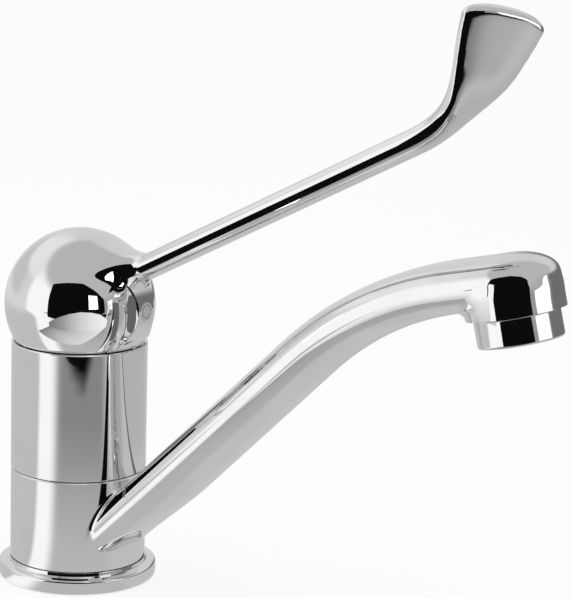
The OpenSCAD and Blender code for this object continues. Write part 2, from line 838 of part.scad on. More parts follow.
// The boss under the lever: a curved front with flanks that narrow towards it
module handle_boss() {
    centre_x = boss_reach - boss_r;
    leave_x = sqrt(pow(ball_r, 2) - pow(boss_root_w / 2, 2)) - edge;
    intersection() {
        translate([centre_x, 0, screw_z])
            rotate([90, 0, 0])
                cylinder(r = boss_r, h = 2 * boss_root_w, center = true);
        translate([0, 0, rim_z])
            linear_extrude(ball_d)
                polygon([
                    [centre_x, -boss_root_w / 2], [leave_x, -boss_root_w / 2],
                    [boss_reach - edge, -boss_front_w / 2], [boss_reach + cut, -boss_front_w / 2 + edge],
                    [boss_reach + cut, boss_front_w / 2 - edge], [boss_reach - edge, boss_front_w / 2],
                    [leave_x, boss_root_w / 2], [centre_x, boss_root_w / 2]
                ]);
    }
}

// The lever's sections: close together where it flares, bends and ends
module lever_blade() {
    flare_n = 8;
    arm_n = 6;
    bend_n = 20;
    tip_n = 8;
    ball_share = fillet_ball_r / (fillet_ball_r + arm_fillet_r);
    root = flare_start(arm_t / 2 - arm_above) * ball_share - arm_behind;
    flare_end = ball_r + arm_fillet_r;
    arm_end = lever_s_end - paddle_len;
    tip_start = lever_s_end - paddle_tip_len;
    stations = concat(
        [for (i = [0 : flare_n - 1]) root + (flare_end - root) * i / flare_n],
        [for (i = [0 : arm_n - 1]) flare_end + (arm_end - flare_end) * i / arm_n],
        [for (i = [0 : bend_n - 1]) arm_end + (tip_start - arm_end) * i / bend_n],
        [for (i = [0 : tip_n]) tip_start + paddle_tip_len * sin(90 * i / tip_n)]
    );
    loft([for (s = stations) lever_section(s)]);
}

module lever_handle() {
    color("silver")
        difference() {
            union() {
                translate([0, 0, ball_z]) sphere(r = ball_r);
                handle_boss();
                lever_blade();
            }
            difference() {
                translate([0, 0, ball_z]) sphere(r = ball_in_r);
                translate([0, 0, hub_bottom]) cylinder(r = hub_r, h = ball_d);
                at_screw() translate([0, 0, screw_boss_x]) cylinder(r = screw_boss_r, h = ball_d);
            }
            translate([0, 0, rim_z - ball_d]) cylinder(r = ball_d, h = ball_d);
            translate([-stem_w / 2 - seat_fit, -stem_w / 2 - seat_fit, ball_z])
                cube([stem_w + 2 * seat_fit, stem_w + 2 * seat_fit, stem_h + seat_fit]);
            at_screw() cylinder(d = screw_d + 2 * seat_fit, h = ball_d);
            at_screw()
                translate([0, 0, plug_face - plug_t - seat_fit])
                    cylinder(d = plug_d + 2 * seat_fit, h = ball_d);
        }
}

module grub_screw() {
    color("gray")
        at_screw()
            translate([0, 0, stem_w / 2 + seat_fit])
                difference() {
                    cylinder(d = screw_d, h = screw_len);
                    translate([0, 0, screw_len / 2])
                        cylinder(d = screw_socket / cos(30), h = screw_len, $fn = 6);
                }
}

module index_plug() {
    color("lightgray")
        at_screw()
            translate([0, 0, plug_face - plug_t])
                difference() {
                    cylinder(d = plug_d, h = plug_t);
                    ring(
                        plug_d / 2 - plug_rim_w - plug_groove_w, plug_d / 2 - plug_rim_w,
                        plug_t - plug_groove_w, plug_groove_w + cut
                    );
                }
}

base_ring();
deck_gasket();
valve_body();
lower_glide_ring();
upper_glide_ring();
spout_seals();
spout();
aerator_shell();
aerator_washer();
aerator_screen();
aerator_insert();
cartridge_base();
cartridge_seals();
fixed_disc();
moving_disc();
disc_carrier();
cartridge_housing();
cartridge_nut();
inner_cap();
rotor();
pivot_pin();
spindle();
lever_handle();
grub_screw();
index_plug();
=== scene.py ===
"""Looks of the elbow lever tap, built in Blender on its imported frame."""
import json
import math

import bpy
import numpy as np
from mathutils import Matrix, Vector


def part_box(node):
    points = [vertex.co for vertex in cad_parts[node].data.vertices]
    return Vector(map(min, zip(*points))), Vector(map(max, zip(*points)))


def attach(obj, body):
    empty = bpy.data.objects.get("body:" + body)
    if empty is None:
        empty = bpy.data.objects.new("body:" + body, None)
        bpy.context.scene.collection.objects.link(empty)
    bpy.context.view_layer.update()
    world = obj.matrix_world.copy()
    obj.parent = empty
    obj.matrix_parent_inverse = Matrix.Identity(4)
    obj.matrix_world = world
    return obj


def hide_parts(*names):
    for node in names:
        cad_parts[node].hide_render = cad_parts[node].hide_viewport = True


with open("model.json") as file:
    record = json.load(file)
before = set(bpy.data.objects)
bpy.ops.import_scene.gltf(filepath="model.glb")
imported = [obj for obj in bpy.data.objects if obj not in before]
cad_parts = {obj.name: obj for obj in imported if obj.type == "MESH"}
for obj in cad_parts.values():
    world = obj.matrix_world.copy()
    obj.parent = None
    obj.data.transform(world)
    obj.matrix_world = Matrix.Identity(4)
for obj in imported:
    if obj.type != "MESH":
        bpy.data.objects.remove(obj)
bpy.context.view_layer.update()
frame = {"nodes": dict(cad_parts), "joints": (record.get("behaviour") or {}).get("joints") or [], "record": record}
nodes = frame["nodes"]

# Lengths below are in millimetres and become metres when a mesh is made
MM = 0.001

# Levels and sizes that the frame gives
joint_z = {j["name"]: j["pos_m"][2] / MM for j in frame["joints"] if "pos_m" in j}
BALL_Z = joint_z["lever_lift"]
BODY_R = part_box("valve_body")[1].x / MM
TOP_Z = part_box("valve_body")[1].z / MM
BASE_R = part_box("base_ring")[1].x / MM
BASE_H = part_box("base_ring")[1].z / MM
COLLAR_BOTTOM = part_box("spout")[0].z / MM
RIM_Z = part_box("lever_handle")[0].z / MM

# Body and base, as in the part's source
SEAM_Z = 40.0
COLLAR_TOP = 39.7
SPIGOT_R = 19.0
COLLAR_BORE_R = 19.06
FOOT_R = 17.0
BASE_WALL_H = 4.7
SEAT_R = 26.8
CHAMBER_R = 17.45
NUT_BORE_R = 19.05
NUT_SEAT_Z = 68.4
FLOOR_Z = 46.0
GLIDE_R = 21.66
GLIDE_ROOM = 1.6
SEAL_GROOVE_R = 16.75
SEAL_GROOVE_H = 2.4
SEAL_INSET = 5.5
WATER_GROOVE_R = 16.5
WATER_GROOVE_H = 13.0
BASE_FOOT_ROOM = 0.05
SHOULDER_RISE = 0.4
SHOULDER_ROUND = 0.9
LIP = 0.6
LIP_H = 1.2
GASKET_IN_R = 20.95
GASKET_OUT_R = 25.05
GASKET_H = 2.45
STUD_R = 3.4
STUD_DEPTH = 16.0
INLET_R = 4.5
INLET_DEPTH = 12.0
INLET_OFFSET = 10.5
DRILL_TIP = 0.4

# Ball, boss and plug
BALL_R = 26.5
BALL_IN_R = 24.3
BOSS_REACH = 29.0
BOSS_R = 16.0
BOSS_FRONT_W = 8.8
BOSS_ROOT_W = 14.6
BOSS_Z = BALL_Z + 1.0
BOSS_SINK = 0.4
BOSS_LOW = -47
BOSS_SWEEP = 105
BOSS_EDGE = 0.5
BOSS_CORNER = 0.6
PLUG_R = 3.2
PLUG_FACE = 29.2
PLUG_DEPTH = 2.4
PLUG_RIM = 0.7
PLUG_GROOVE = 0.4
PLUG_CROWN = 0.12
PLUG_ROOM = 0.05
PLUG_SEAT_X = 26.8
PLUG_SEAT_LEN = 6

# Lever arm and paddle
ARM_RISE = 1.3
ARM_ANGLE = math.radians(27.9)
ARM_LEN = 152.0
ARM_W = 12.0
ARM_T = 8.7
ARM_SQUARE = 2.6
ARM_FILLET = 12.0
ARM_SIDE_FILLET = 6.5
FILLET_SHIFT = 0.3
PADDLE_BEND = 53.5
PADDLE_ANGLE = math.radians(69.5)
PADDLE_END = 17.7
PADDLE_LEN = 47.5
PADDLE_W = 28.8
PADDLE_T = 5.4
PADDLE_SQUARE = 4.0
PADDLE_TWIST = math.radians(38.0)
PADDLE_FAN = 0.8
PADDLE_THIN_BY = 0.7
PADDLE_TWIST_BY = 0.57
TIP_LEN = 5.0
TIP_ROUND_W = 2.1
TIP_ROUND_T = 4

# Spout, head and aerator
SPOUT_Z = 1.1
SPOUT_RISE = math.radians(44.2)
SPOUT_RUN = 135.0
SPOUT_BEND = 127.0
SPOUT_END = math.radians(14.5)
SPOUT_END_LEN = 18.0
SPOUT_ROOT = (32.6, 18.4)
SPOUT_TIP = (31.2, 16.8)
SPOUT_SQUARE = 2.3
SPOUT_START = 21.1
ROOT_SQUARE = 3.0
ROOT_BLEND = 45.0
ROOT_LIFT = 2.9
ROOT_FILLET = 1.6
ROOT_CREASE = 0.4
ROOT_FADE = 4
ROOT_LEAST = 0.1
HEAD_R = 16.25
HEAD_WALL_H = 5.7
HEAD_H = 18.8
HEAD_DROP = 10.6
HEAD_SQUARE = 2.36
HEAD_FILLET = 3.0
HEAD_TOP_FILLET = 0.8
HEAD_BORE_R = 12.05
HEAD_BORE_LEN = 7
AERATOR_LEN = 9.3
AERATOR_GAP = 0.3
AERATOR_R = 14.0
THREAD_R = 12.0
THREAD_LEN = 5.0
AERATOR_BORE_R = 10.2
LEDGE_R = 8.8
LEDGE_H = 2.0

# Fineness of the meshes, and the stock that is left for a cut
SKIN_CELL = 0.65
TURN_STEPS = 192
SMALL_STEPS = 96
DRILL_STEPS = 64
SEAT_POINTS = 10
STOCK = 2


class Spine:
    """A straight run, an arc and another straight run in the XZ plane, starting on the body's axis."""

    def __init__(self, z, rise, run, bend, end, end_len):
        self.rise = rise
        self.run = run
        self.bend = bend
        self.end = end
        self.way = math.copysign(1, end - rise)
        self.arc = abs(end - rise) * bend
        self.length = run + self.arc + end_len
        self.start = np.array((0.0, z))
        self.along = [np.array((math.cos(a), math.sin(a))) for a in (rise, end)]
        self.above = [np.array((-math.sin(a), math.cos(a))) for a in (rise, end)]
        self.knee = self.start + run * self.along[0]
        self.centre = self.knee + self.way * bend * self.above[0]
        self.far_knee = self.centre - self.way * bend * self.above[1]

    def local(self, p):
        """Distance along the line, and height above it, for points in space."""
        q = p[:, [0, 2]]
        first = (q - self.start) @ self.along[0]
        up = (q - self.start) @ self.above[0]
        out = q - self.centre
        reach = np.hypot(out[:, 0], out[:, 1])
        slope = np.arctan2(self.way * out[:, 0], -self.way * out[:, 1])
        last = (q - self.far_knee) @ self.along[1]
        s = np.where(first <= self.run, first, self.run + self.way * (slope - self.rise) * self.bend)
        h = np.where(first <= self.run, up, self.way * (self.bend - reach))
        beyond = (first > self.run) & (last > 0)
        s = np.where(beyond, self.run + self.arc + last, s)
        h = np.where(beyond, (q - self.far_knee) @ self.above[1], h)
        return s, h

    def point(self, end_s):
        """The point on the last straight run at a distance along the line."""
        x, z = self.far_knee + (end_s - self.run - self.arc) * self.along[1]
        return np.array((x, 0.0, z))


spout_line = Spine(SPOUT_Z, SPOUT_RISE, SPOUT_RUN, SPOUT_BEND, SPOUT_END, SPOUT_END_LEN)
lever_line = Spine(BALL_Z + ARM_RISE, ARM_ANGLE, ARM_LEN, PADDLE_BEND, PADDLE_ANGLE, PADDLE_END)
ball_centre = np.array((0.0, 0.0, BALL_Z))
outlet_axis = np.array((-math.sin(SPOUT_END), 0.0, math.cos(SPOUT_END)))
outlet_front = np.array((math.cos(SPOUT_END), 0.0, math.sin(SPOUT_END)))
outlet = spout_line.point(spout_line.length) - (HEAD_DROP + AERATOR_LEN) * outlet_axis


def smooth(u):
    """A smooth step from 0 to 1."""
    v = np.clip(u, 0, 1)
    return v * v * (3 - 2 * v)


def drawn_in(u, k):
    """The share of its size that a rounded end still has at a share of its length."""
    least = 0.0004
    return np.maximum(1 - np.clip(u, 0, 1) ** k, least) ** (1 / k)


def oval_gap(across, up, half_w, half_t, square, nose=0.0):
    """Distance, to first order, from a rounded oval; a nose share rounds off the end of a run."""
    a = np.maximum(np.abs(across) / half_w, 1e-6)
    b = np.maximum(np.abs(up) / half_t, 1e-6)
    r = (a**square + b**square) ** (1 / square)
    slope = np.hypot((a / r) ** (square - 1) / half_w, (b / r) ** (square - 1) / half_t)
    return (np.hypot(r, nose) - 1) / slope


def round_union(a, b, radius):
    """Both fields together, with a fillet of a radius in the corner between them."""
    corner = np.hypot(np.maximum(radius - a, 0), np.maximum(radius - b, 0))
    return np.maximum(radius, np.minimum(a, b)) - corner


def lever_field(p):
    """The outside of the ball, arm and paddle: below zero inside."""
    ball = np.linalg.norm(p - ball_centre, axis=1) - BALL_R
    s, up = lever_line.local(p)
    u = (s - lever_line.length + PADDLE_LEN) / PADDLE_LEN
    tip = (s - lever_line.length + TIP_LEN) / TIP_LEN
    fan = PADDLE_FAN * smooth(u) + (1 - PADDLE_FAN) * np.clip(u, 0, 1)
    half_w = (ARM_W + (PADDLE_W - ARM_W) * fan) / 2 * drawn_in(tip, TIP_ROUND_W)
    half_t = (ARM_T + (PADDLE_T - ARM_T) * smooth(u / PADDLE_THIN_BY)) / 2 * drawn_in(tip, TIP_ROUND_T)
    turn = PADDLE_TWIST * smooth(u / PADDLE_TWIST_BY)
    across = p[:, 1] * np.cos(turn) - up * np.sin(turn)
    height = p[:, 1] * np.sin(turn) + up * np.cos(turn)
    square = ARM_SQUARE + (PADDLE_SQUARE - ARM_SQUARE) * smooth(u)
    arm = oval_gap(across, height, half_w, half_t, square)
    arm = np.maximum(arm, np.maximum(-s, s - lever_line.length))
    fillet = ARM_SIDE_FILLET + (ARM_FILLET - ARM_SIDE_FILLET) * smooth(up / ARM_T + FILLET_SHIFT)
    return round_union(ball, arm, fillet)


def spout_field(p):
    """The outside of the collar, run and head of the spout, with stock to cut away at collar and head."""
    s, up = spout_line.local(p)
    u = (s - SPOUT_START) / (spout_line.length - SPOUT_START)
    half_w = (SPOUT_ROOT[0] + (SPOUT_TIP[0] - SPOUT_ROOT[0]) * np.clip(u, 0, 1)) / 2
    half_h = (SPOUT_ROOT[1] + (SPOUT_TIP[1] - SPOUT_ROOT[1]) * np.clip(u, 0, 1)) / 2
    nose = np.maximum(s - spout_line.length, 0) / HEAD_R
    under = smooth(-up / half_h)
    near_root = 1 - smooth((s - SPOUT_START) / ROOT_BLEND)
    square = SPOUT_SQUARE + (ROOT_SQUARE - SPOUT_SQUARE) * under * near_root
    half_h = half_h - np.where(up < 0, ROOT_LIFT * near_root, 0)
    run = oval_gap(p[:, 1], up, half_w, half_h, square, nose)
    run = np.maximum(run, SPOUT_START / 2 - s)
    q = p - outlet
    rise = q @ outlet_axis - AERATOR_LEN
    out = np.hypot(q @ outlet_front, q[:, 1])
    head = oval_gap(out, np.maximum(rise - HEAD_WALL_H, 0), HEAD_R, HEAD_H - HEAD_WALL_H, HEAD_SQUARE)
    head = np.maximum(head, -STOCK - rise)
    arm = round_union(run, head, HEAD_TOP_FILLET + (HEAD_FILLET - HEAD_TOP_FILLET) * under)
    collar = np.hypot(p[:, 0], p[:, 1]) - BODY_R
    collar = np.maximum(collar, np.maximum(COLLAR_BOTTOM - STOCK - p[:, 2], p[:, 2] - COLLAR_TOP - STOCK))
    fillet = ROOT_FILLET * np.clip((COLLAR_TOP - p[:, 2]) / ROOT_FADE, ROOT_LEAST, 1)
    fillet = fillet + (ROOT_CREASE - fillet) * under
    return round_union(arm, collar, fillet)


def gradient(field, p):
    """Slope of a field at points."""
    step = 0.01
    sides = [field(p + step * e) - field(p - step * e) for e in np.eye(3)]
    return np.stack(sides, axis=1) / (2 * step)


def settled(field, p, cell):
    """Points moved on to a field's surface."""
    rounds = 4
    least_slope = 1e-3
    for _ in range(rounds):
        g = gradient(field, p)
        move = (field(p) / np.maximum((g * g).sum(axis=1), least_slope))[:, None] * g
        size = np.linalg.norm(move, axis=1, keepdims=True)
        p = p - move * np.minimum(1, cell / np.maximum(size, 1e-9))
    return p


def field_grid(field, low, shape, cell):
    """The field on a grid, worked out in full only in the blocks near its surface."""
    block = 8
    batch = 400
    nearness = 1.3
    counts = [-(-n // block) for n in shape]
    index = np.stack(np.meshgrid(*[np.arange(c) for c in counts], indexing="ij"), axis=-1).reshape(-1, 3)
    centres = low + (index * block + (block - 1) / 2) * cell
    rough = field(centres)
    values = np.repeat(np.repeat(np.repeat(rough.reshape(counts), block, 0), block, 1), block, 2)
    near = index[np.abs(rough) < block * cell * nearness]
    inner = np.stack(np.meshgrid(*[np.arange(block)] * 3, indexing="ij"), axis=-1).reshape(-1, 3)
    for start in range(0, len(near), batch):
        points = (near[start : start + batch, None] * block + inner).reshape(-1, 3)
        values[tuple(points.T)] = field(low + points * cell)
    return values


def field_skin(field, low, high, cell):
    """A quad mesh on a field's surface inside a box, its points evened out and on the surface."""
    margin = 3 * cell
    even_rounds = 6
    even_share = 0.6
    low = np.array(low) - margin
    shape = [int(n) for n in np.ceil((np.array(high) + margin - low) / cell) + 1]
    values = field_grid(field, low, shape, cell)
    size = np.array(values.shape)
    inside = values < 0
    cells, points, quads = [], [], []
    for axis in range(3):
        near = tuple(slice(None, -1) if a == axis else slice(1, None) for a in range(3))
        far = tuple(slice(1, None) for a in range(3))
        cross = np.argwhere(inside[near] != inside[far])
        cross += [0 if a == axis else 1 for a in range(3)]
        step = np.eye(3, dtype=int)[axis]
        first = values[tuple(cross.T)]
        second = values[tuple((cross + step).T)]
        share = (first / (first - second))[:, None]
        place = low + (cross + share * step) * cell
        side, other = np.eye(3, dtype=int)[(axis + 1) % 3], np.eye(3, dtype=int)[(axis + 2) % 3]
        around = np.stack([cross, cross - side, cross - side - other, cross - other], axis=1)
        ids = (around[..., 0] * size[1] + around[..., 1]) * size[2] + around[..., 2]
        ids[first > 0] = ids[first > 0][:, ::-1]
        cells.append(ids.reshape(-1))
        points.append(np.repeat(place, 4, axis=0))
        quads.append(ids)
    names, where = np.unique(np.concatenate(cells), return_inverse=True)
    points = np.concatenate(points)
    counts = np.bincount(where)
    verts = np.stack([np.bincount(where, points[:, a]) / counts for a in range(3)], axis=1)
    faces = np.searchsorted(names, np.concatenate(quads))
    verts = settled(field, verts, cell)
    ends = np.concatenate([faces, np.roll(faces, 1, axis=1)]).reshape(-1)
    mates = np.concatenate([np.roll(faces, 1, axis=1), faces]).reshape(-1)
    counts = np.bincount(ends)[:, None]
    for _ in range(even_rounds):
        mean = np.stack([np.bincount(ends, verts[mates, a]) for a in range(3)], axis=1) / counts
        normal = gradient(field, verts)
        normal /= np.linalg.norm(normal, axis=1, keepdims=True)
        move = mean - verts
        verts = verts + even_share * (move - (move * normal).sum(axis=1, keepdims=True) * normal)
    return settled(field, verts, cell), faces


def mesh_object(name, verts, faces):
    """A mesh object from points in millimetres."""
    mesh = bpy.data.meshes.new(name)
    mesh.from_pydata((np.asarray(verts) * MM).tolist(), [], [list(map(int, f)) for f in faces])
    mesh.validate()
    obj = bpy.data.objects.new(name, mesh)
    bpy.context.scene.collection.objects.link(obj)
    return obj


def turned_mesh(profile, steps=TURN_STEPS):
    """Points and faces of a closed outline of (radius, height) points turned about Z."""
    verts, rows = [], []
    for r, z in profile:
        if r < 1e-6:
            rows.append([len(verts)] * steps)
            verts.append((0.0, 0.0, z))
            continue
        rows.append(list(range(len(verts), len(verts) + steps)))
        angles = [2 * math.pi * i / steps for i in range(steps)]
        verts += [(r * math.cos(a), r * math.sin(a), z) for a in angles]
    faces = []
    for row, up in zip(rows, rows[1:] + rows[:1]):
        for i in range(steps):
            j = (i + 1) % steps
            ring = [row[i], row[j], up[j], up[i]]
            face = [v for k, v in enumerate(ring) if v != ring[k - 1]]
            if len(set(face)) > 2:
                faces.append(face)
    return verts, faces


def rounded(outline):
    """An outline of (radius, height, corner radius) points with rounded corners, held beside each."""
    steps = 5
    hold = 0.15
    made = []
    for k, (r, z, fillet) in enumerate(outline):
        here = Vector((r, z))
        if fillet <= 0:
            made.append((r, z))
            continue
        back = (Vector(outline[k - 1][:2]) - here).normalized()
        ahead = (Vector(outline[(k + 1) % len(outline)][:2]) - here).normalized()
        half = back.angle(ahead) / 2
        reach = fillet / math.tan(half)
        centre = here + (back + ahead).normalized() * (fillet / math.sin(half))
        start = here + back * reach - centre
        end = here + ahead * reach - centre
        sweep = math.atan2(start.x * end.y - start.y * end.x, start.dot(end))
        made.append(tuple(here + back * (reach + hold)))
        for i in range(steps + 1):
            turn = Matrix.Rotation(sweep * i / steps, 2)
            made.append(tuple(centre + turn @ start))
        made.append(tuple(here + ahead * (reach + hold)))
    return made


def turned(name, outline, place=None, steps=TURN_STEPS):
    """An object turned about Z from a rounded outline, moved into place."""
    obj = mesh_object(name, *turned_mesh(rounded(outline), steps))
    if place is not None:
        obj.data.transform(place)
    return obj


def cut(obj, tool, operation="DIFFERENCE"):
    """Cuts a tool out of an object, or joins it on, and drops the tool."""
    change = obj.modifiers.new("cut", "BOOLEAN")
    change.operation = operation
    change.solver = "EXACT"
    change.object = tool
    depsgraph = bpy.context.evaluated_depsgraph_get()
    made = bpy.data.meshes.new_from_object(obj.evaluated_get(depsgraph))
    old = obj.data
    obj.modifiers.clear()
    obj.data = made
    made.name = obj.name
    bpy.data.meshes.remove(old)
    bpy.data.objects.remove(tool)


def smooth_shaded(obj, field=None, sharp=32):
    """Shades an object smooth but for its sharp edges, with a field's own normals where it follows one."""
    skin_gap = 0.02
    same_way = 0.85
    mesh = obj.data
    mesh.shade_smooth()
    mesh.set_sharp_from_angle(angle=math.radians(sharp))
    if field is None:
        return
    count = len(mesh.loops)
    corners = np.empty(count * 3)
    mesh.corner_normals.foreach_get("vector", corners)
    corners = corners.reshape(-1, 3)
    where = np.empty(count, dtype=np.int64)
    mesh.loops.foreach_get("vertex_index", where)
    verts = np.empty(len(mesh.vertices) * 3)
    mesh.vertices.foreach_get("co", verts)
    verts = verts.reshape(-1, 3) / MM
    own = gradient(field, verts)
    own /= np.maximum(np.linalg.norm(own, axis=1, keepdims=True), 1e-9)
    on_skin = np.abs(field(verts)) < skin_gap
    follows = on_skin[where] & ((corners * own[where]).sum(axis=1) > same_way)
    corners[follows] = own[where][follows]
    mesh.normals_split_custom_set(corners.tolist())


def outlet_place():
    """The place of the aerator: its outlet at the origin and its axis up into the head."""
    turn = Matrix.Rotation(-SPOUT_END, 4, "Y")
    return Matrix.Translation(Vector(outlet * MM)) @ turn


def boss_place(x):
    """A place on the boss's axis, with Z turned to point out of the boss."""
    return Matrix.Translation((x * MM, 0, BOSS_Z * MM)) @ Matrix.Rotation(math.pi / 2, 4, "Y")


def box_mm(node):
    """A node's lowest and highest corners in millimetres."""
    low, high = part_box(node)
    return np.array(low) / MM, np.array(high) / MM


# The lever: ball, arm and paddle as one skin, with the boss joined on and the ball hollowed
def make_boss():
    """The boss under the lever: a curved front, and flanks that run back into the ball's wall."""
    rows, columns = 40, 12
    least_depth = 0.1
    root = BOSS_ROOT_W / 2
    leave_x = math.sqrt(BALL_R**2 - root**2) - BOSS_SINK
    lean = (root - BOSS_FRONT_W / 2) / (BOSS_REACH - leave_x)
    inner_r = (BALL_R + BALL_IN_R) / 2
    verts, faces = [], []
    for i in range(rows + 1):
        a = math.radians(BOSS_LOW + BOSS_SWEEP * i / rows)
        x = BOSS_REACH - BOSS_R + BOSS_R * math.cos(a)
        z = BOSS_Z + BOSS_R * math.sin(a)
        half = root - lean * max(x - leave_x, 0)
        back = math.sqrt(max(inner_r**2 - root**2 - (z - BALL_Z) ** 2, 0))
        back = min(back, x - least_depth)
        flank = half + BOSS_EDGE * lean
        front = half - BOSS_EDGE * BOSS_CORNER
        ring = [(back, -root, z), (x - BOSS_EDGE, -flank, z)]
        ring += [(x, front * (2 * k / columns - 1), z) for k in range(columns + 1)]
        ring += [(x - BOSS_EDGE, flank, z), (back, root, z)]
        verts += ring
    n = len(ring)
    for i in range(rows):
        for k in range(n):
            a, b = i * n + k, i * n + (k + 1) % n
            faces.append((a, b, b + n, a + n))
    faces.append(tuple(reversed(range(n))))
    faces.append(tuple(range(rows * n, rows * n + n)))
    return mesh_object("boss", verts, faces)


def make_lever():
    """The lever's skin with its boss, hollow and plug seat."""
    arc_steps = 24
    low, high = box_mm("lever_handle")
    low[2] = BALL_Z - BALL_R
    lever = mesh_object("lever", *field_skin(lever_field, low, high, SKIN_CELL))
    cut(lever, make_boss(), "UNION")
    drop = BALL_Z - RIM_Z
    low_a = math.asin(-drop / BALL_IN_R)
    arc = [low_a + (math.pi / 2 - low_a) * i / arc_steps for i in range(arc_steps + 1)]
    wide = 2 * BALL_R
    hollow = [(0, BALL_Z - wide), (wide, BALL_Z - wide), (wide, RIM_Z)]
    hollow += [(max(BALL_IN_R * math.cos(a), 0), BALL_Z + BALL_IN_R * math.sin(a)) for a in arc]
    cut(lever, mesh_object("hollow", *turned_mesh(hollow)))
    seat_r = PLUG_R + PLUG_ROOM
    outline = [(0, 0), (seat_r, 0), (seat_r, PLUG_SEAT_LEN), (0, PLUG_SEAT_LEN)]
    seat = mesh_object("seat", *turned_mesh(outline, SMALL_STEPS))
    seat.data.transform(boss_place(PLUG_SEAT_X))
    cut(lever, seat)
    smooth_shaded(lever, lever_field)
    return lever


lever = make_lever()


# The spout: collar, run and head as one skin, trimmed and bored
def make_spout():
    """The spout's skin, with the collar turned to size and bored, and the mouth bored for the aerator."""
    beyond = 6
    clear = 4
    rim = 3
    edge = 0.4
    foot = 0.5
    over = 0.2
    lap = 0.01
    margin = 1
    low, high = box_mm("spout")
    low[2] -= STOCK
    spout = mesh_object("spout_skin", *field_skin(spout_field, low - margin, high + margin, SKIN_CELL))
    under, outside = COLLAR_BOTTOM - beyond, BODY_R + clear
    glide_low, glide_high = BASE_H + GLIDE_ROOM, SEAM_Z - GLIDE_ROOM
    bevel_z, above = COLLAR_TOP - edge - over, COLLAR_TOP + beyond
    trim = [
        (0, under), (outside, under), (outside, COLLAR_BOTTOM - lap), (BODY_R + foot, COLLAR_BOTTOM - lap),
        (BODY_R - edge, COLLAR_BOTTOM), (GLIDE_R, COLLAR_BOTTOM), (GLIDE_R, glide_low),
        (COLLAR_BORE_R, glide_low), (COLLAR_BORE_R, glide_high), (GLIDE_R, glide_high),
        (GLIDE_R, COLLAR_TOP), (BODY_R - edge, COLLAR_TOP), (BODY_R + over, bevel_z),
        (BODY_R + 2 * over, bevel_z), (BODY_R + 2 * over, above), (0, above),
    ]
    cut(spout, mesh_object("trim", *turned_mesh(trim)))
    wide, deep = HEAD_R + rim, AERATOR_LEN + HEAD_BORE_LEN
    mouth = [
        (0, -beyond), (wide, -beyond), (wide, AERATOR_LEN), (HEAD_BORE_R, AERATOR_LEN),
        (HEAD_BORE_R, deep), (0, deep),
    ]
    tool = mesh_object("mouth", *turned_mesh(mouth))
    tool.data.transform(outlet_place())
    cut(spout, tool)
    smooth_shaded(spout, spout_field)
    return spout


spout = make_spout()

# Base ring, body, aerator shell and plug, turned with rounded edges
base = turned("base", [
    (FOOT_R + BASE_FOOT_ROOM, BASE_H, 0), (FOOT_R + BASE_FOOT_ROOM, 0, 0), (GASKET_IN_R, 0, 0),
    (GASKET_IN_R, GASKET_H, 0), (GASKET_OUT_R, GASKET_H, 0), (GASKET_OUT_R, 0, 0), (BASE_R, 0, 0.3),
    (BASE_R, BASE_WALL_H + SHOULDER_RISE, SHOULDER_ROUND),
    (BODY_R + LIP, BASE_H - LIP_H, 0.1), (BODY_R + LIP / 2, BASE_H, 0.1),
])
smooth_shaded(base)

seat_low = math.asin((TOP_Z - BALL_Z) / SEAT_R)
seat_arc = [(SEAT_R * math.cos(a), BALL_Z + SEAT_R * math.sin(a))
            for a in np.linspace(seat_low, -math.acos(NUT_BORE_R / SEAT_R), SEAT_POINTS)]
grooves = []
for middle, half, r in ((BASE_H + SEAL_INSET, SEAL_GROOVE_H / 2, SEAL_GROOVE_R),
                        ((BASE_H + SEAM_Z) / 2, WATER_GROOVE_H / 2, WATER_GROOVE_R),
                        (SEAM_Z - SEAL_INSET, SEAL_GROOVE_H / 2, SEAL_GROOVE_R)):
    low, high = middle - half, middle + half
    grooves += [(SPIGOT_R, low, 0), (r, low, 0), (r, high, 0), (SPIGOT_R, high, 0)]
body = turned("body", [
    (0, 0, 0), (FOOT_R, 0, 0.2), (FOOT_R, BASE_H, 0), (SPIGOT_R, BASE_H, 0), *grooves,
    (SPIGOT_R, SEAM_Z, 0), (BODY_R, SEAM_Z, 0.4), (BODY_R, TOP_Z, 0.35), *[(r, z, 0) for r, z in seat_arc],
    (NUT_BORE_R, NUT_SEAT_Z, 0), (CHAMBER_R, NUT_SEAT_Z, 0), (CHAMBER_R, FLOOR_Z, 0), (0, FLOOR_Z, 0),
])
for x, y, r, depth in ((0, 0, STUD_R, STUD_DEPTH), (0, INLET_OFFSET, INLET_R, INLET_DEPTH),
                       (0, -INLET_OFFSET, INLET_R, INLET_DEPTH)):
    outline = [(0, -STOCK, 0), (r, -STOCK, 0), (r, depth, 0), (0, depth + r * DRILL_TIP, 0)]
    drill = turned("drill", outline, Matrix.Translation((x * MM, y * MM, 0)), DRILL_STEPS)
    cut(body, drill)
smooth_shaded(body)

aerator = turned("aerator", [
    (LEDGE_R, LEDGE_H, 0.2), (LEDGE_R, 0, 0.4), (AERATOR_R, 0, 0.8),
    (AERATOR_R, AERATOR_LEN - AERATOR_GAP, 0.4), (THREAD_R, AERATOR_LEN - AERATOR_GAP, 0),
    (THREAD_R, AERATOR_LEN + THREAD_LEN, 0),
    (AERATOR_BORE_R, AERATOR_LEN + THREAD_LEN, 0), (AERATOR_BORE_R, LEDGE_H, 0),
], outlet_place())
smooth_shaded(aerator)

